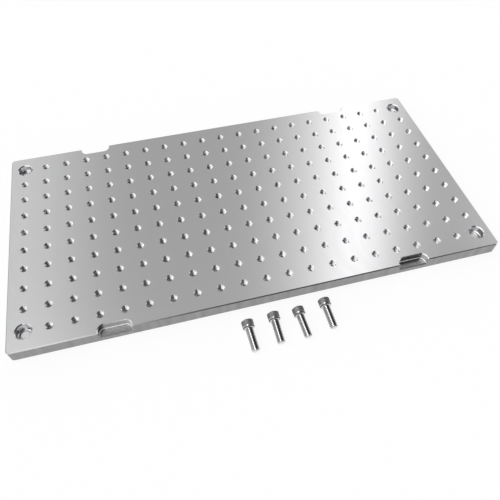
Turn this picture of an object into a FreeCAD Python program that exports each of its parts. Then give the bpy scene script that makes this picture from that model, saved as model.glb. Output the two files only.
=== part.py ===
"""Machining pallet: a flat aluminium plate with a grid of tapped holes, four counterbored screw
holes at its corners and four clamp notches along its long edges, with the four socket head cap
screws that fasten it, laid out in front of it.

Sizes are in millimetres and degrees. The origin is the centre of the plate's bottom face. +X runs
along the plate, +Y to its back and +Z up, so the plate and the screws rest on Z = 0.
"""

import FreeCAD
import Part
import Sketcher
import math
import os

SIZES = {
    # Hole grid and outline of the plate.
    "hole_pitch": 19.05,
    "column_count": 21,
    "row_count": 10,
    "end_margin": 12.7,
    "side_margin": 15.875,
    "plate_thickness": 12.7,
    "corner_radius": 3.175,
    "edge_chamfer": 0.75,
    "tap_drill": 5.1054,
    # Clamp notches, open at the top and at the plate's long edges. Each is centred this many
    # pitches in from the end column, midway between two columns.
    "notch_pitches": 3.5,
    "notch_width": 25.4,
    "notch_inset": 6.75,
    "notch_drop": 6.35,
    "notch_corner_radius": 4.7625,
    "notch_floor_fillet": 1.0,
    # Socket head cap screw.
    "screw_diameter": 6.35,
    "screw_length": 19.05,
    "tip_chamfer": 0.8,
    "head_diameter": 9.525,
    "head_height": 6.35,
    "head_chamfer": 0.4,
    "socket_width": 4.7625,
    "socket_depth": 3.1,
    # Room for the screw in its counterbored hole.
    "shank_clearance": 0.2,
    "head_clearance": 1.19,
    "head_recess": 0.25,
    # Where the loose screws lie.
    "screw_spacing": 21.4,
    "screw_row_centre": 7.3,
    "screw_gap": 12.0,
}

# How far each loose screw lies from an even, square row: along X, along Y, turn about Z, roll.
SCREW_SCATTER = (
    (0.2, -1.6, 2.1, 8.0),
    (0.2, -0.1, 0.3, 35.0),
    (-0.9, -0.6, 3.5, 20.0),
    (0.4, 1.8, 1.5, 50.0),
)

# Plate sizes that follow from the driving ones, as expressions.
COLUMN_SPAN = "(sizes.column_count - 1) * sizes.hole_pitch"
ROW_SPAN = "(sizes.row_count - 1) * sizes.hole_pitch"
HALF_LENGTH = "(%s / 2 + sizes.end_margin)" % COLUMN_SPAN
HALF_WIDTH = "(%s / 2 + sizes.side_margin)" % ROW_SPAN
NOTCH_CENTRE = "(%s / 2 - sizes.notch_pitches * sizes.hole_pitch)" % COLUMN_SPAN
SHANK_HOLE = "sizes.screw_diameter + 2 * sizes.shank_clearance"
COUNTERBORE = "sizes.head_diameter + 2 * sizes.head_clearance"
COUNTERBORE_DEPTH = "sizes.head_height + sizes.head_recess"

NEAR = 0.01  # how closely an edge must match the place it is looked for at


def size_sheet(doc):
    """The spreadsheet of driving sizes: names in column A, values with those aliases in B."""
    sheet = doc.addObject("Spreadsheet::Sheet", "sizes")
    for row, (name, value) in enumerate(SIZES.items(), start=1):
        sheet.set("A%d" % row, name)
        sheet.set("B%d" % row, str(value))
        sheet.setAlias("B%d" % row, name)
    doc.recompute()
    return sheet


def origin_plane(body, role):
    """One of the body's own origin planes, such as XY_Plane."""
    for feature in body.Origin.OriginFeatures:
        if feature.Role == role:
            return feature
    raise ValueError("no origin plane " + role)


def new_sketch(body, name, role):
    """An empty sketch on one of the body's origin planes."""
    sketch = body.newObject("Sketcher::SketchObject", name)
    sketch.AttachmentSupport = (origin_plane(body, role), [""])
    sketch.MapMode = "FlatFace"
    return sketch


def pin_point(sketch, geometry, position, x_size, y_size):
    """Hold a sketch point at the two given expressions, measured from the sketch's origin."""
    axes = (("DistanceX", x_size, -2), ("DistanceY", y_size, -1))
    for kind, size, axis in axes:
        if size == "0":
            sketch.addConstraint(Sketcher.Constraint("PointOnObject", geometry, position, axis))
            continue
        index = sketch.addConstraint(Sketcher.Constraint(kind, -1, 1, geometry, position, 1.0))
        sketch.setExpression("Constraints[%d]" % index, size)


def outline_sketch(body, name, role, corners):
    """A closed outline of straight lines through corners, each a pair of expressions."""
    sketch = new_sketch(body, name, role)
    count = len(corners)
    for number in range(count):
        start = 2 * math.pi * number / count
        end = 2 * math.pi * (number + 1) / count
        line = Part.LineSegment(
            FreeCAD.Vector(math.cos(start), math.sin(start), 0),
            FreeCAD.Vector(math.cos(end), math.sin(end), 0),
        )
        sketch.addGeometry(line, False)
    for number in range(count):
        following = (number + 1) % count
        sketch.addConstraint(Sketcher.Constraint("Coincident", number, 2, following, 1))
    for number, (x_size, y_size) in enumerate(corners):
        pin_point(sketch, number, 1, x_size, y_size)
    return sketch


def circle_sketch(body, name, role, x_size, y_size, diameter):
    """A single circle with its centre at two expressions."""
    sketch = new_sketch(body, name, role)
    circle = Part.Circle(FreeCAD.Vector(1, 1, 0), FreeCAD.Vector(0, 0, 1), 1)
    sketch.addGeometry(circle, False)
    pin_point(sketch, 0, 3, x_size, y_size)
    index = sketch.addConstraint(Sketcher.Constraint("Diameter", 0, 2.0))
    sketch.setExpression("Constraints[%d]" % index, diameter)
    return sketch


def edges_where(shape, wanted):
    """Names of the edges of shape for which wanted(edge) is true."""
    names = []
    for number, edge in enumerate(shape.Edges, start=1):
        if wanted(edge):
            names.append("Edge%d" % number)
    return names


def is_upright(edge):
    box = edge.BoundBox
    return box.XLength < NEAR and box.YLength < NEAR


def is_level_at(edge, height):
    box = edge.BoundBox
    return abs(box.ZMin - height) < NEAR and abs(box.ZMax - height) < NEAR


def cut_grid(body, seed, sketch, columns, rows):
    """Repeat a cut along X and Y. columns and rows each give a count and the span from end to end."""
    grid = body.newObject("PartDesign::LinearPattern", seed.Name + "Grid")
    grid.Originals = [seed]
    grid.Direction = (sketch, ["H_Axis"])
    grid.Direction2 = (sketch, ["V_Axis"])
    grid.Mode = "Extent"
    grid.Mode2 = "Extent"
    grid.setExpression("Occurrences", columns[0])
    grid.setExpression("Length", columns[1])
    grid.setExpression("Occurrences2", rows[0])
    grid.setExpression("Length2", rows[1])
    body.Tip = grid
    return grid


def add_blank(doc, body):
    """The rectangular plate with its corners rounded."""
    outline = outline_sketch(body, "PlateOutline", "XY_Plane", (
        ("-" + HALF_LENGTH, "-" + HALF_WIDTH),
        (HALF_LENGTH, "-" + HALF_WIDTH),
        (HALF_LENGTH, HALF_WIDTH),
        ("-" + HALF_LENGTH, HALF_WIDTH),
    ))
    blank = body.newObject("PartDesign::Pad", "Blank")
    blank.Profile = outline
    blank.setExpression("Length", "sizes.plate_thickness")
    doc.recompute()

    rounding = body.newObject("PartDesign::Fillet", "CornerRounding")
    rounding.Base = (blank, edges_where(blank.Shape, is_upright))
    rounding.setExpression("Radius", "sizes.corner_radius")
    doc.recompute()
    return rounding


def add_notches(doc, body, sheet, blank):
    """The four clamp notches, with milled inner corners and a small fillet round each floor."""
    half_notch = "sizes.notch_width / 2"
    wall = "-(%s - sizes.notch_inset)" % HALF_WIDTH
    outside = "-(%s + sizes.notch_inset)" % HALF_WIDTH
    outline = outline_sketch(body, "NotchOutline", "XY_Plane", (
        ("-(%s + %s)" % (NOTCH_CENTRE, half_notch), outside),
        ("-(%s - %s)" % (NOTCH_CENTRE, half_notch), outside),
        ("-(%s - %s)" % (NOTCH_CENTRE, half_notch), wall),
        ("-(%s + %s)" % (NOTCH_CENTRE, half_notch), wall),
    ))
    outline.setExpression("AttachmentOffset.Base.z", "sizes.plate_thickness")
    notch = body.newObject("PartDesign::Pocket", "Notch")
    notch.Profile = outline
    notch.setExpression("Length", "sizes.notch_drop")
    doc.recompute()
    if notch.Shape.Volume >= blank.Shape.Volume:
        raise ValueError("the notch cuts nothing")

    notches = body.newObject("PartDesign::MultiTransform", "NotchPairs")
    notches.Originals = [notch]
    mirrors = []
    for name, role in (("LeftToRight", "YZ_Plane"), ("FrontToBack", "XZ_Plane")):
        mirror = body.newObject("PartDesign::Mirrored", name)
        mirror.MirrorPlane = (origin_plane(body, role), [""])
        mirrors.append(mirror)
    notches.Transformations = mirrors
    body.Tip = notches
    doc.recompute()

    wall_y = notches.Shape.BoundBox.YMax - sheet.notch_inset

    def is_inner_corner(edge):
        return is_upright(edge) and abs(abs(edge.CenterOfMass.y) - wall_y) < NEAR

    corners = body.newObject("PartDesign::Fillet", "NotchCorners")
    corners.Base = (notches, edges_where(notches.Shape, is_inner_corner))
    corners.setExpression("Radius", "sizes.notch_corner_radius")
    doc.recompute()

    floor_height = sheet.plate_thickness - sheet.notch_drop
    edge_y = corners.Shape.BoundBox.YMax

    def is_floor_wall(edge):
        at_plate_edge = abs(abs(edge.CenterOfMass.y) - edge_y) < NEAR
        return is_level_at(edge, floor_height) and not at_plate_edge

    floors = body.newObject("PartDesign::Fillet", "NotchFloors")
    floors.Base = (corners, edges_where(corners.Shape, is_floor_wall))
    floors.setExpression("Radius", "sizes.notch_floor_fillet")
    doc.recompute()
    return floors


def add_edge_chamfer(doc, body, sheet, plate):
    """One small chamfer round the top and bottom faces and along each notch's floor."""
    top = sheet.plate_thickness
    floor_height = top - sheet.notch_drop
    edge_y = plate.Shape.BoundBox.YMax

    def is_chamfered(edge):
        if is_level_at(edge, top) or is_level_at(edge, 0):
            return True
        return is_level_at(edge, floor_height) and abs(abs(edge.CenterOfMass.y) - edge_y) < NEAR

    chamfer = body.newObject("PartDesign::Chamfer", "EdgeChamfer")
    chamfer.Base = (plate, edges_where(plate.Shape, is_chamfered))
    chamfer.setExpression("Size", "sizes.edge_chamfer")
    doc.recompute()
    return chamfer


def add_tapped_holes(doc, body):
    """The grid of tapped holes, at tap drill size. The four corner places are left free."""
    first_column = "-%s / 2" % COLUMN_SPAN
    first_row = "-%s / 2" % ROW_SPAN
    groups = (
        (
            "Field",
            "%s + sizes.hole_pitch" % first_column,
            first_row,
            ("sizes.column_count - 2", "(sizes.column_count - 3) * sizes.hole_pitch"),
            ("sizes.row_count", ROW_SPAN),
        ),
        (
            "EndColumn",
            first_column,
            "%s + sizes.hole_pitch" % first_row,
            ("2", COLUMN_SPAN),
            ("sizes.row_count - 2", "(sizes.row_count - 3) * sizes.hole_pitch"),
        ),
    )
    for name, x_size, y_size, columns, rows in groups:
        sketch = circle_sketch(body, name + "Centre", "XY_Plane", x_size, y_size, "sizes.tap_drill")
        hole = body.newObject("PartDesign::Pocket", name + "Hole")
        hole.Profile = sketch
        hole.Type = "Length"
        hole.Reversed = True
        hole.setExpression("Length", "sizes.plate_thickness")
        doc.recompute()
        cut_grid(body, hole, sketch, columns, rows)
        doc.recompute()


def add_corner_holes(doc, body):
    """Four counterbored holes at the corner places of the grid, for the screws."""
    first_column = "-%s / 2" % COLUMN_SPAN
    first_row = "-%s / 2" % ROW_SPAN
    sketch = circle_sketch(body, "CornerCentre", "XY_Plane", first_column, first_row, SHANK_HOLE)
    sketch.setExpression("AttachmentOffset.Base.z", "sizes.plate_thickness")
    doc.recompute()
    hole = body.newObject("PartDesign::Hole", "CornerHole")
    hole.Profile = sketch
    doc.recompute()
    hole.DepthType = "ThroughAll"
    hole.setExpression("Diameter", SHANK_HOLE)
    hole.HoleCutType = "Counterbore"
    hole.HoleCutCustomValues = True
    hole.setExpression("HoleCutDiameter", COUNTERBORE)
    hole.setExpression("HoleCutDepth", COUNTERBORE_DEPTH)
    doc.recompute()
    cut_grid(body, hole, sketch, ("2", COLUMN_SPAN), ("2", ROW_SPAN))
    doc.recompute()


def make_plate(doc, sheet):
    body = doc.addObject("PartDesign::Body", "Plate")
    body.Label = "pallet_plate"
    blank = add_blank(doc, body)
    notched = add_notches(doc, body, sheet, blank)
    add_edge_chamfer(doc, body, sheet, notched)
    add_tapped_holes(doc, body)
    add_corner_holes(doc, body)
    return body


def screw_profile(body):
    """Half of the screw's section, from the middle of the head's top at the origin along +Z."""
    head = "sizes.head_diameter / 2"
    shank = "sizes.screw_diameter / 2"
    tip = "sizes.head_height + sizes.screw_length"
    return outline_sketch(body, "Profile", "XZ_Plane", (
        ("0", "0"),
        (head + " - sizes.head_chamfer", "0"),
        (head, "sizes.head_chamfer"),
        (head, "sizes.head_height"),
        (shank, "sizes.head_height"),
        (shank, tip + " - sizes.tip_chamfer"),
        (shank + " - sizes.tip_chamfer", tip),
        ("0", tip),
    ))


def make_screw(doc, number):
    """One screw, turned and then given its hexagon socket. Its thread is left as a plain shank."""
    body = doc.addObject("PartDesign::Body", "Screw%d" % number)
    body.Label = "screw_%d" % number
    profile = screw_profile(body)
    turned = body.newObject("PartDesign::Revolution", "Turned")
    turned.Profile = profile
    turned.ReferenceAxis = (profile, ["V_Axis"])
    turned.Angle = 360.0
    doc.recompute()

    flat = "sizes.socket_width / 2"
    slant = "sizes.socket_width / (2 * sqrt(3))"
    point = "sizes.socket_width / sqrt(3)"
    hexagon = outline_sketch(body, "Hexagon", "XY_Plane", (
        ("0", "-" + point),
        (flat, "-" + slant),
        (flat, slant),
        ("0", point),
        ("-" + flat, slant),
        ("-" + flat, "-" + slant),
    ))
    socket = body.newObject("PartDesign::Pocket", "Socket")
    socket.Profile = hexagon
    socket.Reversed = True
    socket.setExpression("Length", "sizes.socket_depth")
    doc.recompute()
    if socket.Shape.Volume >= turned.Shape.Volume:
        raise ValueError("the socket cuts nothing")
    return body


def lying_placement(sheet, plate_front, number):
    """Where a loose screw lies, on the rim of its head and the end of its thread."""
    along, away, turn, roll = SCREW_SCATTER[number]
    head_radius = sheet.head_diameter / 2
    drop = head_radius - sheet.screw_diameter / 2
    tilt = math.atan2(drop, sheet.screw_length - sheet.tip_chamfer)
    row_start = sheet.screw_row_centre - (len(SCREW_SCATTER) - 1) / 2 * sheet.screw_spacing
    turning = FreeCAD.Rotation(FreeCAD.Vector(0, 0, 1), turn)
    tipping = FreeCAD.Rotation(FreeCAD.Vector(1, 0, 0), 90 + math.degrees(tilt))
    rolling = FreeCAD.Rotation(FreeCAD.Vector(0, 0, 1), roll)
    place = FreeCAD.Vector(
        row_start + number * sheet.screw_spacing + along,
        plate_front - sheet.screw_gap + away,
        head_radius * math.cos(tilt) + sheet.head_height * math.sin(tilt),
    )
    return FreeCAD.Placement(place, turning * tipping * rolling)


def make_screws(doc, sheet, plate_front):
    """The set of four screws, laid in a row in front of the plate."""
    screws = []
    for number in range(len(SCREW_SCATTER)):
        screw = make_screw(doc, number + 1)
        screw.Placement = lying_placement(sheet, plate_front, number)
        screws.append(screw)
    group = doc.addObject("Part::Compound", "Screws")
    group.Label = "mounting_screws"
    group.Links = screws
    doc.recompute()
    return group


def check_document(doc, parts):
    """Stop if any object failed to build or any part's shape is not sound."""
    for item in doc.Objects:
        if "Invalid" in item.State or "Error" in item.State:
            raise ValueError("%s is in state %s" % (item.Name, item.State))
    for part in parts:
        if part.Shape.isNull() or not part.Shape.isValid():
            raise ValueError("%s has no valid shape" % part.Label)


def main():
    doc = FreeCAD.newDocument("MachiningPallet")
    sheet = size_sheet(doc)
    plate = make_plate(doc, sheet)
    screws = make_screws(doc, sheet, plate.Shape.BoundBox.YMin)
    parts = (plate, screws)
    check_document(doc, parts)
    os.makedirs("parts", exist_ok=True)
    for part in parts:
        part.Shape.exportStep("parts/%s.step" % part.Label)
        solids = len(part.Shape.Solids)
        print("%s: %d solid(s), %.1f mm3" % (part.Label, solids, part.Shape.Volume))


main()
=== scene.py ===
"""Finish of the machining pallet: an aluminium plate with a grid of tapped holes, counterbored corner
holes and clamp notches, and the four socket head cap screws that lie in front of it.

Lengths are in metres. The plate rests on Z = 0 with its length along X, and the screws lie on its -Y side.
"""

import math

import bmesh
import bpy
from mathutils import Matrix, Vector

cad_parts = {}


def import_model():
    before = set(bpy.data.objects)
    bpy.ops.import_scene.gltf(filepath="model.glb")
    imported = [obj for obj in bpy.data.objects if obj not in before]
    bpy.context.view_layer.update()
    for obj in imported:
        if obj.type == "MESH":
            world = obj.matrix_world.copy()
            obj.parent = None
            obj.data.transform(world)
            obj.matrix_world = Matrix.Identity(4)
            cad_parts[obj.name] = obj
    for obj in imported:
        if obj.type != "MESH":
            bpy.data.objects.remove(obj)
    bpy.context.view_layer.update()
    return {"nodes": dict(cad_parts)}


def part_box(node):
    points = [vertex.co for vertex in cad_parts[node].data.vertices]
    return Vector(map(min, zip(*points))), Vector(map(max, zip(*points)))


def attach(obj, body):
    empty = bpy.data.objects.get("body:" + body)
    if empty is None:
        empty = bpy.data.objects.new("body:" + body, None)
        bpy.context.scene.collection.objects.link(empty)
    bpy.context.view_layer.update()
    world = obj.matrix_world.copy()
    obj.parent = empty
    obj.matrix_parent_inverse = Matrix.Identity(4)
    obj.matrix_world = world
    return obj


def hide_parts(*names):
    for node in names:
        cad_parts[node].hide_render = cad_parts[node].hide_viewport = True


MM = 0.001
INCH = 25.4 * MM
TURNS_PER_RADIAN = 0.5 / math.pi

MERGE_DISTANCE = 0.001 * MM
SLACK = 0.01 * MM  # when heights or radii are compared
SHARP_ABOVE = 25  # degrees: an edge that turns further keeps its crease

# Plate: the parts of its shape that a finish depends on.
HOLE_PITCH = 0.75 * INCH
TAP_RADIUS = 2.5527 * MM
COUNTERBORE_RADIUS = 5.9525 * MM
SCREW_HOLE_RADIUS = 3.375 * MM
NOTCH_BAND = 8 * MM  # along each edge: the notches reach into it, and no hole does
LONG_EDGE_BAND = 0.9 * MM  # the outline's faces on the long edges, with their chamfer
END_BAND = 2 * MM
NOTCH_FLOOR = 6.35 * MM  # above the bottom of the plate
FLOOR_SLACK = 0.1 * MM
PLATE_MIDDLE = 6.35 * MM
TAPPED_COUNTERSINK = 0.65 * MM  # at 45 degrees, to just over the outside of the thread
COUNTERBORE_RIM_BREAK = 0.8 * MM
SCREW_HOLE_RIM_BREAK = 0.4 * MM
RIM_TURN = 1.0  # radians: an edge of a hole that turns further is its rim
RIM_SLACK = 0.03 * MM
WALL_REACH = 1.02  # a wall's faces lie within this many radii of its hole's axis

# How far a face's normal points along an axis, from 0 to 1.
POINTS_UP = 0.9
POINTS_PARTLY_UP = 0.3
POINTS_ALONG = 0.5

# Face mill that finished the top and bottom of the plate.
FACE_MILL_RADIUS = 38 * MM
FACE_MILL_PASS = 50.8 * MM

# Marks of a cutter: a noise's scale and detail over its feed, for the single marks and for groups of
# them, the share of the groups, and the levels between which the metal turns from dull to bright.
SINGLE_MARKS = (1.0, 2.0)
GROUPED_MARKS = (0.07, 3.0)
GROUPED_SHARE = 0.6
DULL_TO_BRIGHT = (0.35, 0.65)
COOL_TINT = 1.012  # how much more blue than red the metal reflects

# Thread of the holes and the screws. Shares are of its pitch.
THREAD_PITCH = INCH / 20
FLANK_SLOPE = math.sqrt(3)  # of a thread with an angle of 60 degrees
TAPPED_FLANK_SHARE = 0.75  # as an eye above the hole sees it, with the far flanks hidden
CREST_SHARE = 0.46
ROOT_SHARE = 0.12
FLANK_SHARE = (1 - CREST_SHARE - ROOT_SHARE) / 2

# Socket head cap screw, with its own origin at the middle of the head's top and its tip along +Z.
HEAD_RADIUS = 4.7625 * MM
HEAD_HEIGHT = 6.35 * MM
HEAD_CHAMFER = 0.4 * MM
HEAD_BASE_CHAMFER = 0.5 * MM
SOCKET_SIDES = 6
SOCKET_WIDTH = 4.7625 * MM
SOCKET_DEPTH = 3.1 * MM
SOCKET_LEAD = 0.25 * MM
KNURL_POINTS = 84  # round the head, a multiple of the socket's sides
KNURL_ROWS = 10
KNURL_DEPTH = 0.2 * MM
KNURL_START = 0.6 * MM
KNURL_END = 4.5 * MM
KNURL_REACH = 1.2  # knurled faces lie within this many knurl depths of the head's outside
SHANK_RADIUS = 3.175 * MM
SHANK_LENGTH = 19.05 * MM
SHANK_START = 0.3 * MM  # above the head, inside the neck
SHANK_ROOT = SHANK_RADIUS - FLANK_SLOPE * FLANK_SHARE * THREAD_PITCH
NECK = ((0.0, 3.6 * MM), (0.12 * MM, 3.35 * MM), (0.4 * MM, 3.24 * MM))  # heights above the head, radii
BEARING_SHADE = 0.5  # painted shade of the face under the head, as a share of that at the bottom of a thread or knurl
GROOVE_SHADE_RATE = 1.8  # how fast the painted shade, and the roughness, come on down in a thread or knurl
TIP_CHAMFER = 0.8 * MM
THREAD_STEPS = 40
SPARE_TURNS = 2  # of the thread, cut off at its ends

# Where the screws lie. Each differs a little from an even row: along X, along Y, turn, roll.
SCREW_SPACING = 21.4 * MM
SCREW_ROW_CENTRE = 7.3 * MM
SCREW_GAP = 12.0 * MM
SCREW_SCATTER = (
    (0.2 * MM, -1.6 * MM, 2.1, 8.0),
    (0.2 * MM, -0.1 * MM, 0.3, 35.0),
    (-0.9 * MM, -0.6 * MM, 3.5, 20.0),
    (0.4 * MM, 1.8 * MM, 1.5, 50.0),
)

# Camera, at the photograph's viewing angle.
CAMERA_PLACE = Vector((-72.85, -284.21, 357.32)) * MM
CAMERA_HEADING = 15.19  # degrees right of +Y
CAMERA_DIP = 52.5  # degrees below level
CAMERA_ROLL = 0.837
CAMERA_LENS = 35.617  # focal length in millimetres, on the sensor below
CAMERA_SENSOR = 36
CAMERA_SHIFT = (0.0096, -0.0501)
CAMERA_NEAREST = 10 * MM

# Studio: strip lights that run over the plate from front to back, as brightness against the angle
# round their long axis, in degrees. The directions at 0 and 90 degrees are square to that axis.
STRIPS_AT_0 = Vector((0.160, 0.588, 0.793))
STRIPS_AT_90 = Vector((0.968, -0.251, -0.009))
STRIP_LEVELS = (
    (-180, 0.50),
    (-105, 0.70),
    (-85, 1.50),
    (-49, 1.50),
    (-43, 0.30),
    (-33, 0.30),
    (-27, 0.95),
    (-14, 0.49),
    (0, 0.49),
    (8, 0.86),
    (12.5, 2.15),
    (17.5, 0.64),
    (21, 0.43),
    (24, 0.52),
    (29, 1.05),
    (37, 0.05),
    (90, 0.10),
    (180, 0.50),
)
# The ceiling nearer than the strips, as brightness against the angle from straight up to the right.
CEILING_LEVELS = (
    (-180, 0.50),
    (-90, 0.80),
    (-50, 0.60),
    (-35, 1.20),
    (-22, 0.80),
    (5, 0.45),
    (14, 0.05),
    (75, 0.05),
    (100, 0.40),
    (180, 0.50),
)
CEILING_EDGE = (0.29, 0.34)  # how far back the ceiling gives way to the strips
# Soft boxes and a black flag: middle, radius and soft edge in degrees, brightness.
STUDIO_PATCHES = (
    ((-0.62, -0.16, 0.77), 22, 5, 1.7),
    ((-0.25, -0.02, 0.97), 15, 3, 1.25),
    ((-0.28, 0.19, 0.94), 6.5, 1.5, 6.0),
    ((-0.26, -0.62, 0.74), 14, 5, 1.4),
    ((0.45, -0.78, 0.43), 26, 11, 0.04),
)
LEVEL_PEAK = 3.0  # the most that a list of levels can give
HORIZON_LEVEL = 1.2
HORIZON_EDGE = (0.16, 0.40)  # how far up the horizon gives way to the rest

# Floor. Its own light is what the camera and the metal see of it, and it fades where it is sheltered, which
# paints a shadow under the holes and beside the plate.
FLOOR_HALF = 4.0
FLOOR_DROP = 0.02 * MM
FLOOR_TONE = 0.9
FLOOR_OWN_LIGHT = 0.8  # share of it in what the camera and the metal see
FLOOR_SHELTER_REACH = 15 * MM
FLOOR_SHELTER_SAMPLES = 8
# Openness from and to, and the light that it adds: as under a hole of the plate, and beside the plate. Less
# openness leaves less light, a painted shadow.
FLOOR_LIGHTING = (
    (0.06, 0.15, 0.95),
    (0.15, 0.45, 0.15),
)


def add_node(tree, kind, **values):
    """A new shader node with the given attributes."""
    made = tree.nodes.new(kind)
    for name, value in values.items():
        setattr(made, name, value)
    return made


def feed(tree, source, socket):
    """Give a socket another node's output, or a plain value."""
    if isinstance(source, bpy.types.NodeSocket):
        tree.links.new(source, socket)
    else:
        socket.default_value = source


def arithmetic(tree, operation, *sources):
    """The output of a Math node."""
    made = add_node(tree, "ShaderNodeMath", operation=operation)
    for source, socket in zip(sources, made.inputs):
        feed(tree, source, socket)
    return made.outputs[0]


def dot(tree, vector, fixed):
    """How far a vector points along a fixed one."""
    made = add_node(tree, "ShaderNodeVectorMath", operation="DOT_PRODUCT")
    for source, socket in zip((vector, fixed), made.inputs):
        feed(tree, source, socket)
    return made.outputs["Value"]


def eased(tree, source, low, high, to_high=1.0):
    """A value from low to high becomes 0 to to_high, smoothly, and is held beyond them."""
    made = add_node(tree, "ShaderNodeMapRange", interpolation_type="SMOOTHSTEP")
    feed(tree, source, made.inputs["Value"])
    made.inputs["From Min"].default_value = low
    made.inputs["From Max"].default_value = high
    made.inputs["To Max"].default_value = to_high
    return made.outputs["Result"]


def between(tree, share, first, second, kind="FLOAT"):
    """first where share is 0, and second where it is 1. kind RGBA mixes colours."""
    made = add_node(tree, "ShaderNodeMix", data_type=kind)
    sources = {"Factor": share, "A": first, "B": second}
    for socket in made.inputs:
        if socket.enabled:
            feed(tree, sources[socket.name], socket)
    return next(one for one in made.outputs if one.enabled)


def coordinates(tree):
    """The three coordinates of a point on a piece."""
    split = add_node(tree, "ShaderNodeSeparateXYZ")
    feed(tree, add_node(tree, "ShaderNodeTexCoord").outputs["Object"], split.inputs[0])
    return split.outputs[:]


def level_against(tree, angle, levels):
    """Brightness from an angle in radians and a list of degrees with brightness."""
    ramp = add_node(tree, "ShaderNodeValToRGB")
    ramp.color_ramp.interpolation = "EASE"
    stops = ramp.color_ramp.elements
    while len(stops) > 1:
        stops.remove(stops[-1])
    for degrees, level in levels:
        place = 0.5 + degrees / 360
        stop = stops[0] if degrees == levels[0][0] else stops.new(place)
        stop.position = place
        share = level / LEVEL_PEAK
        stop.color = (share, share, share, 1)
    feed(tree, arithmetic(tree, "MULTIPLY_ADD", angle, TURNS_PER_RADIAN, 0.5), ramp.inputs["Fac"])
    return arithmetic(tree, "MULTIPLY", ramp.outputs["Color"], LEVEL_PEAK)


def light_studio():
    """The world: strip lights and a ceiling, with soft boxes and a black flag, over a pale horizon."""
    world = bpy.data.worlds.new("soft_studio")
    bpy.context.scene.world = world
    world.use_nodes = True
    tree = world.node_tree
    tree.nodes.clear()
    towards = add_node(tree, "ShaderNodeTexCoord").outputs["Generated"]
    split = add_node(tree, "ShaderNodeSeparateXYZ")
    feed(tree, towards, split.inputs[0])
    right, back, up = split.outputs

    round_strips = [dot(tree, towards, direction) for direction in (STRIPS_AT_90, STRIPS_AT_0)]
    strips = level_against(tree, arithmetic(tree, "ARCTAN2", *round_strips), STRIP_LEVELS)
    ceiling = level_against(tree, arithmetic(tree, "ARCTAN2", right, up), CEILING_LEVELS)
    level = between(tree, eased(tree, back, *CEILING_EDGE), ceiling, strips)
    for middle, radius, edge, brightness in STUDIO_PATCHES:
        outer = math.cos(math.radians(radius + edge))
        inner = math.cos(math.radians(radius))
        inside = eased(tree, dot(tree, towards, Vector(middle).normalized()), outer, inner)
        level = between(tree, inside, level, brightness)
    level = between(tree, eased(tree, up, *HORIZON_EDGE), HORIZON_LEVEL, level)

    background = add_node(tree, "ShaderNodeBackground")
    feed(tree, level, background.inputs["Strength"])
    output = add_node(tree, "ShaderNodeOutputWorld")
    feed(tree, background.outputs[0], output.inputs["Surface"])


def floor_material():
    """Matt and pale, and close to white in what the camera and the metal see of it, with a painted shadow
    where it is sheltered.
    """
    material = bpy.data.materials.new("pale_floor")
    material.use_nodes = True
    tree = material.node_tree
    tree.nodes.clear()
    matt = add_node(tree, "ShaderNodeBsdfDiffuse")
    matt.inputs["Color"].default_value = (FLOOR_TONE, FLOOR_TONE, FLOOR_TONE, 1)
    # Ambient occlusion dims the floor's own light: a painted shadow.
    shelter = add_node(tree, "ShaderNodeAmbientOcclusion", samples=FLOOR_SHELTER_SAMPLES)
    shelter.inputs["Distance"].default_value = FLOOR_SHELTER_REACH
    lights = [eased(tree, shelter.outputs["AO"], *step) for step in FLOOR_LIGHTING]
    white = add_node(tree, "ShaderNodeEmission")
    feed(tree, arithmetic(tree, "ADD", *lights), white.inputs["Strength"])
    path = add_node(tree, "ShaderNodeLightPath")
    seen = arithmetic(tree, "MAXIMUM", path.outputs["Is Camera Ray"], path.outputs["Is Glossy Ray"])
    seen = arithmetic(tree, "MAXIMUM", seen, path.outputs["Is Transmission Ray"])
    mix = add_node(tree, "ShaderNodeMixShader")
    share = arithmetic(tree, "MULTIPLY", seen, FLOOR_OWN_LIGHT)
    for source, socket in zip((share, matt.outputs[0], white.outputs[0]), mix.inputs):
        feed(tree, source, socket)
    output = add_node(tree, "ShaderNodeOutputMaterial")
    feed(tree, mix.outputs[0], output.inputs["Surface"])
    return material


def add_floor():
    bm = bmesh.new()
    bmesh.ops.create_grid(bm, x_segments=1, y_segments=1, size=FLOOR_HALF)
    bmesh.ops.translate(bm, vec=(0, 0, -FLOOR_DROP), verts=bm.verts)
    floor = finished(bm, "floor", (floor_material(),))


def add_camera():
    data = bpy.data.cameras.new("camera")
    data.lens = CAMERA_LENS
    data.sensor_width = CAMERA_SENSOR
    data.shift_x, data.shift_y = CAMERA_SHIFT
    data.clip_start = CAMERA_NEAREST
    camera = bpy.data.objects.new("camera", data)
    bpy.context.scene.collection.objects.link(camera)
    heading = Matrix.Rotation(math.radians(-CAMERA_HEADING), 4, "Z")
    dip = Matrix.Rotation(math.radians(90 - CAMERA_DIP), 4, "X")
    roll = Matrix.Rotation(math.radians(CAMERA_ROLL), 4, "Z")
    camera.matrix_world = Matrix.Translation(CAMERA_PLACE) @ heading @ dip @ roll
    bpy.context.scene.camera = camera


def finished(bm, name, materials):
    """A linked object with the mesh that bm holds, at the origin."""
    mesh = bpy.data.meshes.new(name)
    bm.to_mesh(mesh)
    bm.free()
    for material in materials:
        mesh.materials.append(material)
    piece = bpy.data.objects.new(name, mesh)
    bpy.context.scene.collection.objects.link(piece)
    return piece


def crease(bm):
    """Smooth shading, with the edges that turn far left sharp."""
    limit = math.radians(SHARP_ABOVE)
    for face in bm.faces:
        face.smooth = True
    for edge in bm.edges:
        edge.smooth = len(edge.link_faces) == 2 and edge.calc_face_angle(0) < limit


def metal(name, colour, roughness):
    """A material with a metallic Principled shader and plain values. Returns it and its shader."""
    material = bpy.data.materials.new(name)
    material.use_nodes = True
    shader = material.node_tree.nodes["Principled BSDF"]
    shader.inputs["Base Color"].default_value = (*colour, 1)
    shader.inputs["Metallic"].default_value = 1.0
    shader.inputs["Roughness"].default_value = roughness
    return material, shader


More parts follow.
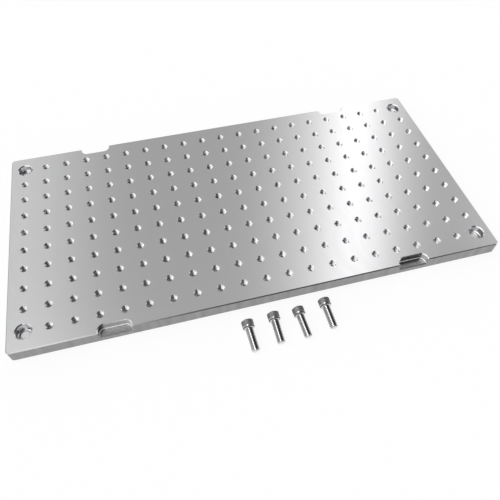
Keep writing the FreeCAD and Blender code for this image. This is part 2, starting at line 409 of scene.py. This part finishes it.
def cutter_marks():
    """A node group: the marks that a cutter leaves, one after the other along a coordinate."""
    group = bpy.data.node_groups.new("cutter_marks", "ShaderNodeTree")
    for name, kind in (("Along", "Float"), ("Feed", "Float"), ("Dull", "Color"), ("Bright", "Color"),
                       ("Smooth", "Float"), ("Rough", "Float"), ("Depth", "Float")):
        group.interface.new_socket(name, in_out="INPUT", socket_type="NodeSocket" + kind)
    for name, kind in (("Color", "Color"), ("Roughness", "Float"), ("Normal", "Vector")):
        group.interface.new_socket(name, in_out="OUTPUT", socket_type="NodeSocket" + kind)
    given = add_node(group, "NodeGroupInput").outputs
    result = add_node(group, "NodeGroupOutput").inputs

    step = arithmetic(group, "DIVIDE", given["Along"], given["Feed"])
    noises = []
    for scale, detail in (SINGLE_MARKS, GROUPED_MARKS):
        noise = add_node(group, "ShaderNodeTexNoise", noise_dimensions="1D")
        noise.inputs["Scale"].default_value = scale
        noise.inputs["Detail"].default_value = detail
        feed(group, step, noise.inputs["W"])
        noises.append(noise.outputs[0])
    single, grouped = noises
    share = eased(group, between(group, GROUPED_SHARE, single, grouped), *DULL_TO_BRIGHT)

    feed(group, between(group, share, given["Dull"], given["Bright"], "RGBA"), result["Color"])
    feed(group, between(group, share, given["Rough"], given["Smooth"]), result["Roughness"])
    bump = add_node(group, "ShaderNodeBump")
    feed(group, single, bump.inputs["Height"])
    feed(group, given["Depth"], bump.inputs["Distance"])
    feed(group, bump.outputs[0], result["Normal"])
    return group


def cut_metal(name, marks, along, feed_length, tone, spread, smooth, rough, depth):
    """Bare metal with cutter marks. along makes the coordinate that the marks follow, from the
    three coordinates of the surface. The tone varies by spread to both sides."""
    material, shader = metal(name, (tone, tone, tone), smooth)
    tree = material.node_tree
    place = coordinates(tree)
    cutter = add_node(tree, "ShaderNodeGroup", node_tree=marks)
    dull, bright = ((level, level, COOL_TINT * level, 1) for level in (tone - spread, tone + spread))
    for socket, source in (("Along", along(tree, *place)), ("Feed", feed_length), ("Dull", dull),
                           ("Bright", bright), ("Smooth", smooth), ("Rough", rough), ("Depth", depth)):
        feed(tree, source, cutter.inputs[socket])
    for given, taken in (("Color", "Base Color"), ("Roughness", "Roughness"), ("Normal", "Normal")):
        feed(tree, cutter.outputs[given], shader.inputs[taken])
    return material


def along_face_mill(tree, x, y, z):
    """Arcs that a face mill leaves as it goes along X, pass beside pass."""
    row = arithmetic(tree, "DIVIDE", y, FACE_MILL_PASS)
    off_centre = arithmetic(tree, "SUBTRACT", arithmetic(tree, "FRACT", row), 0.5)
    off_centre = arithmetic(tree, "MULTIPLY", off_centre, FACE_MILL_PASS)
    square = arithmetic(tree, "MULTIPLY", off_centre, off_centre)
    reach = arithmetic(tree, "SQRT", arithmetic(tree, "SUBTRACT", FACE_MILL_RADIUS ** 2, square))
    return arithmetic(tree, "ADD", x, reach)


def along_outline(tree, x, y, z):
    """Upright marks, on the faces along X and those along Y alike."""
    return arithmetic(tree, "ADD", x, y)


def along_height(tree, x, y, z):
    """Rings round a hole."""
    return z


def tapped_metal():
    """The wall of a tapped hole. The thread is a helix round whichever hole of the grid is nearest,
    and its flanks face the nearer end of the hole."""
    # Lighter than the milled top: painted light in the tapped holes.
    material, shader = metal("tapped_aluminium_painted_light", colour=(0.97, 0.97, 0.98), roughness=0.12)
    tree = material.node_tree
    x, y, z = coordinates(tree)
    across = arithmetic(tree, "DIVIDE", x, HOLE_PITCH)
    across = arithmetic(tree, "SUBTRACT", across, arithmetic(tree, "ROUND", across))
    along = arithmetic(tree, "DIVIDE", y, HOLE_PITCH)
    along = arithmetic(tree, "SUBTRACT", arithmetic(tree, "FRACT", along), 0.5)
    turn = arithmetic(tree, "MULTIPLY", arithmetic(tree, "ARCTAN2", along, across), TURNS_PER_RADIAN)
    level = arithmetic(tree, "DIVIDE", z, THREAD_PITCH)
    outwards = arithmetic(tree, "SIGN", arithmetic(tree, "SUBTRACT", z, PLATE_MIDDLE))
    climb = arithmetic(tree, "MULTIPLY", arithmetic(tree, "SUBTRACT", level, turn), outwards)
    ridge = arithmetic(tree, "MINIMUM", arithmetic(tree, "FRACT", climb), TAPPED_FLANK_SHARE)
    bump = add_node(tree, "ShaderNodeBump", invert=True)
    bump.inputs["Distance"].default_value = FLANK_SLOPE * THREAD_PITCH
    feed(tree, ridge, bump.inputs["Height"])
    feed(tree, bump.outputs[0], shader.inputs["Normal"])
    return material


def screw_steel(name, light, shaded, smooth, rough):
    """Steel with painted shade down in the grooves of a thread or a knurl, where it is also rougher."""
    material, shader = metal(name, light, smooth)
    tree = material.node_tree
    groove = add_node(tree, "ShaderNodeAttribute", attribute_name="groove").outputs["Fac"]
    shade_and_roughness_share = arithmetic(tree, "MINIMUM", arithmetic(tree, "MULTIPLY", groove, GROOVE_SHADE_RATE), 1.0)
    feed(tree, between(tree, shade_and_roughness_share, (*light, 1), (*shaded, 1), "RGBA"), shader.inputs["Base Color"])
    feed(tree, between(tree, shade_and_roughness_share, smooth, rough), shader.inputs["Roughness"])
    return material


def from_nearest_hole(point):
    """How far a point lies, level, from the axis of the nearest place of the hole grid."""
    column = round(point.x / HOLE_PITCH)
    row = math.floor(point.y / HOLE_PITCH) + 0.5
    return math.hypot(point.x - column * HOLE_PITCH, point.y - row * HOLE_PITCH)


# The plate's finishes, in the order of their materials. All are one aluminium: the sides and notch floors get
# darker tones as painted shade, and the bores and tapped walls lighter ones as painted light.
MILLED, SHADED_SIDE, SHADED_POCKET, LIT_BORE, LIT_TAPPED = range(5)


def zone_of(face, far_corner):
    """Which of the plate's finishes a face has. far_corner is that of the plate's box."""
    middle = face.calc_center_median()
    from_end = far_corner.x - abs(middle.x)
    from_long_edge = far_corner.y - abs(middle.y)
    if from_end < NOTCH_BAND or from_long_edge < NOTCH_BAND:
        if face.normal.z > POINTS_PARTLY_UP and middle.z < NOTCH_FLOOR + FLOOR_SLACK:
            return SHADED_POCKET if face.normal.z > POINTS_UP else SHADED_SIDE
        if abs(face.normal.x) > POINTS_ALONG and from_end < END_BAND:
            return SHADED_SIDE
        at_outline = from_end < NOTCH_BAND or from_long_edge < LONG_EDGE_BAND
        if abs(face.normal.z) > POINTS_PARTLY_UP or not at_outline:
            return MILLED
        return SHADED_SIDE
    if abs(face.normal.z) > POINTS_PARTLY_UP:
        return MILLED
    if from_nearest_hole(middle) < WALL_REACH * TAP_RADIUS:
        return LIT_TAPPED
    if from_nearest_hole(middle) < WALL_REACH * COUNTERBORE_RADIUS:
        return LIT_BORE
    return SHADED_SIDE


def break_rims(bm, far_corner, radius, width):
    """Take the sharp edge off the rims of holes of one radius."""
    rims = []
    for edge in bm.edges:
        first, second = (vert.co for vert in edge.verts)
        if abs(first.z - second.z) > SLACK or abs(first.y) > far_corner.y - NOTCH_BAND:
            continue
        if max(abs(from_nearest_hole(point) - radius) for point in (first, second)) > RIM_SLACK:
            continue
        if abs(edge.calc_face_angle(0)) > RIM_TURN:
            rims.append(edge)
    broken = bmesh.ops.bevel(bm, geom=rims, offset=width, offset_type="OFFSET", segments=1, profile=0.5,
                             affect="EDGES", material=-1)
    for face in broken["faces"]:
        face.material_index = MILLED


def finish_plate(frame):
    """The plate with the rims of its holes broken and a finish for each kind of face."""
    far_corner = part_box("pallet_plate")[1]
    bm = bmesh.new()
    bm.from_mesh(frame["nodes"]["pallet_plate"].data)
    bmesh.ops.remove_doubles(bm, verts=bm.verts, dist=MERGE_DISTANCE)
    bm.normal_update()
    for face in bm.faces:
        face.material_index = zone_of(face, far_corner)
    for radius, width in ((TAP_RADIUS, TAPPED_COUNTERSINK), (COUNTERBORE_RADIUS, COUNTERBORE_RIM_BREAK),
                          (SCREW_HOLE_RADIUS, SCREW_HOLE_RIM_BREAK)):
        break_rims(bm, far_corner, radius, width)
    crease(bm)
    marks = cutter_marks()
    plate = finished(bm, "finished_plate", (
        cut_metal("milled_aluminium", marks, along_face_mill, feed_length=0.5 * MM, tone=0.86,
                  spread=0.006, smooth=0.196, rough=0.204, depth=0.0001 * MM),
        # The outline's sides and the notch floors are darker copies of the milled aluminium: painted shade.
        cut_metal("edge_milled_aluminium_painted_shade", marks, along_outline, feed_length=0.4 * MM, tone=0.31,
                  spread=0.02, smooth=0.36, rough=0.44, depth=0.008 * MM),
        cut_metal("pocket_aluminium_painted_shade", marks, along_outline, feed_length=0.4 * MM, tone=0.38,
                  spread=0.02, smooth=0.24, rough=0.32, depth=0.004 * MM),
        # The bores are a lighter copy of the milled aluminium: painted light.
        cut_metal("bored_aluminium_painted_light", marks, along_height, feed_length=0.3 * MM, tone=0.93,
                  spread=0.02, smooth=0.42, rough=0.50, depth=0.004 * MM),
        tapped_metal(),
    ))
    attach(plate, "root")
    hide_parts("pallet_plate")


def edges_in(items):
    return [item for item in items if isinstance(item, bmesh.types.BMEdge)]


def verts_in(items):
    return {item for item in items if isinstance(item, bmesh.types.BMVert)}


def edges_of(points):
    return list({edge for point in points for edge in point.link_edges})


def edges_between(items, points):
    return [edge for edge in edges_in(items) if points.issuperset(edge.verts)]


def ring_out(bm, ring, height, radius, knurl_row=None):
    """Extrude a ring of edges to a new height and radius, and return the new ring. On a knurled
    row every other point is pulled in, and the next row pulls in the ones between."""
    made = bmesh.ops.extrude_edge_only(bm, edges=ring)["geom"]
    points = verts_in(made)
    for point in points:
        around = math.atan2(point.co.y, point.co.x)
        place = round(around * KNURL_POINTS / (2 * math.pi))
        pulled = knurl_row is not None and (place + knurl_row) % 2 == 1
        reach = radius - KNURL_DEPTH if pulled else radius
        point.co = Vector((reach * math.cos(around), reach * math.sin(around), height))
    return edges_between(made, points)


def screw_head(bm):
    """The knurled head, from the floor of its hexagon socket round to the neck under it."""
    outer = bmesh.ops.create_circle(bm, segments=KNURL_POINTS, radius=HEAD_RADIUS - HEAD_CHAMFER)["verts"]
    rim = edges_of(outer)
    side = ring_out(bm, rim, HEAD_CHAMFER, HEAD_RADIUS)
    for row in range(KNURL_ROWS + 1):
        height = KNURL_START + (KNURL_END - KNURL_START) * row / KNURL_ROWS
        side = ring_out(bm, side, height, HEAD_RADIUS, row)
    for height, radius in (
        (KNURL_END + KNURL_DEPTH, HEAD_RADIUS),
        (HEAD_HEIGHT - HEAD_BASE_CHAMFER, HEAD_RADIUS),
        (HEAD_HEIGHT, HEAD_RADIUS - HEAD_BASE_CHAMFER),
        *((HEAD_HEIGHT + above, radius) for above, radius in NECK),
    ):
        side = ring_out(bm, side, height, radius)
    bmesh.ops.edgeloop_fill(bm, edges=side)

    corner = SOCKET_WIDTH / math.sqrt(3)
    mouth = edges_of(bmesh.ops.create_circle(bm, segments=SOCKET_SIDES, radius=corner + SOCKET_LEAD)["verts"])
    cuts = KNURL_POINTS // SOCKET_SIDES - 1
    mouth = edges_in(bmesh.ops.subdivide_edges(bm, edges=mouth, cuts=cuts)["geom"])
    bmesh.ops.bridge_loops(bm, edges=rim + mouth)
    for depth, share in ((SOCKET_LEAD, corner / (corner + SOCKET_LEAD)), (SOCKET_DEPTH, 1)):
        made = bmesh.ops.extrude_edge_only(bm, edges=mouth)["geom"]
        points = verts_in(made)
        bmesh.ops.scale(bm, vec=(share, share, 1), verts=list(points))
        for point in points:
            point.co.z = depth
        mouth = edges_between(made, points)
    bmesh.ops.edgeloop_fill(bm, edges=mouth)


def screw_thread(bm):
    """The threaded shank: the thread's section over one pitch, spun into a helix, cut to length."""
    start = HEAD_HEIGHT + SHANK_START
    end = HEAD_HEIGHT + SHANK_LENGTH
    turns = math.ceil((end - start) / THREAD_PITCH) + SPARE_TURNS
    section = (
        (0, SHANK_ROOT),
        (ROOT_SHARE, SHANK_ROOT),
        (ROOT_SHARE + FLANK_SHARE, SHANK_RADIUS),
        (ROOT_SHARE + FLANK_SHARE + CREST_SHARE, SHANK_RADIUS),
        (1, SHANK_ROOT),
    )
    points = [bm.verts.new((radius, 0, start + (share - 1) * THREAD_PITCH)) for share, radius in section]
    edges = [bm.edges.new(pair) for pair in zip(points, points[1:])]
    bmesh.ops.spin(bm, geom=points + edges, cent=(0, 0, 0), axis=(0, 0, 1), angle=2 * math.pi * turns,
                   dvec=(0, 0, THREAD_PITCH / THREAD_STEPS), steps=turns * THREAD_STEPS)
    bmesh.ops.remove_doubles(bm, verts=bm.verts, dist=MERGE_DISTANCE)
    for height, side in ((start, -1), (end, 1)):
        everything = bm.verts[:] + bm.edges[:] + bm.faces[:]
        bmesh.ops.bisect_plane(bm, geom=everything, plane_co=(0, 0, height), plane_no=(0, 0, side),
                               clear_outer=True)
    bmesh.ops.remove_doubles(bm, verts=bm.verts, dist=MERGE_DISTANCE)
    bmesh.ops.holes_fill(bm, edges=[edge for edge in bm.edges if edge.is_boundary])
    for point in bm.verts:
        reach = math.hypot(point.co.x, point.co.y)
        limit = shank_limit(point.co.z)
        if reach > limit:
            point.co.x *= limit / reach
            point.co.y *= limit / reach


def shank_limit(height):
    """The radius of the shank without its thread: full, and less at the chamfered tip."""
    return min(SHANK_RADIUS, SHANK_RADIUS - TIP_CHAMFER + HEAD_HEIGHT + SHANK_LENGTH - height)


def painted_groove_shade(point):
    """How deep a point of a screw lies in the knurl or the thread, from 0 to 1, which sets its painted
    shade. The edge of the face under the head gets part of that painted shade too."""
    reach = math.hypot(point.x, point.y)
    if abs(point.z - HEAD_HEIGHT) < HEAD_BASE_CHAMFER + SLACK and reach > NECK[0][1] + SLACK:
        return BEARING_SHADE
    if KNURL_START - SLACK < point.z < KNURL_END + SLACK:
        return min(max((HEAD_RADIUS - reach) / KNURL_DEPTH, 0), 1)
    if point.z > HEAD_HEIGHT + NECK[-1][0]:
        return min(max((shank_limit(point.z) - reach) / (SHANK_RADIUS - SHANK_ROOT), 0), 1)
    return 0


def is_knurled(face):
    middle = face.calc_center_median()
    outside = math.hypot(middle.x, middle.y) > HEAD_RADIUS - KNURL_REACH * KNURL_DEPTH
    return outside and HEAD_CHAMFER < middle.z < KNURL_END + KNURL_DEPTH


# The screws' finishes, in the order of their materials.
BRIGHT, KNURLED = range(2)


def whole_screw():
    """One screw in its own frame: a closed head with its neck, and a closed shank that starts in it."""
    thread = bmesh.new()
    screw_thread(thread)
    shank = bpy.data.meshes.new("shank")
    thread.to_mesh(shank)
    thread.free()
    bm = bmesh.new()
    screw_head(bm)
    bm.from_mesh(shank)
    bpy.data.meshes.remove(shank)
    bmesh.ops.recalc_face_normals(bm, faces=bm.faces)
    groove = bm.verts.layers.float.new("groove")
    for point in bm.verts:
        point[groove] = painted_groove_shade(point.co)
    for face in bm.faces:
        face.material_index = KNURLED if is_knurled(face) else BRIGHT
    crease(bm)
    return bm


def lying(number):
    """Where a screw lies: on the rim of its head and the end of its thread."""
    along, away, turn, roll = SCREW_SCATTER[number]
    tilt = math.atan2(HEAD_RADIUS - SHANK_RADIUS, SHANK_LENGTH - TIP_CHAMFER)
    row_start = SCREW_ROW_CENTRE - (len(SCREW_SCATTER) - 1) / 2 * SCREW_SPACING
    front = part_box("pallet_plate")[0].y
    place = Vector((
        row_start + number * SCREW_SPACING + along,
        front - SCREW_GAP + away,
        HEAD_RADIUS * math.cos(tilt) + HEAD_HEIGHT * math.sin(tilt),
    ))
    turning = Matrix.Rotation(math.radians(turn), 4, "Z")
    tipping = Matrix.Rotation(math.radians(90) + tilt, 4, "X")
    rolling = Matrix.Rotation(math.radians(roll), 4, "Z")
    return Matrix.Translation(place) @ turning @ tipping @ rolling


def finish_screws():
    """The four screws, with knurled heads, hexagon sockets and threads."""
    finishes = (
        # bright_steel has painted shade down in its thread and knurl grooves, set by the groove attribute.
        screw_steel("bright_steel", light=(0.76, 0.76, 0.77), shaded=(0.08, 0.08, 0.085),
                    smooth=0.08, rough=0.3),
        # The knurled steel is rougher, and its tone below bright_steel's is painted shade of the knurl.
        screw_steel("knurled_steel", light=(0.50, 0.50, 0.51), shaded=(0.25, 0.25, 0.25),
                    smooth=0.40, rough=0.6),
    )
    for number in range(len(SCREW_SCATTER)):
        bm = whole_screw()
        bmesh.ops.transform(bm, matrix=lying(number), verts=bm.verts)
        screw = finished(bm, "socket_screw_%d" % (number + 1), finishes)
        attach(screw, "root")
        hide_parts("mounting_screws")


def main():
    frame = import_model()
    add_camera()
    light_studio()
    add_floor()
    finish_plate(frame)
    finish_screws()
    bpy.context.scene.view_settings.view_transform = "Standard"


main()
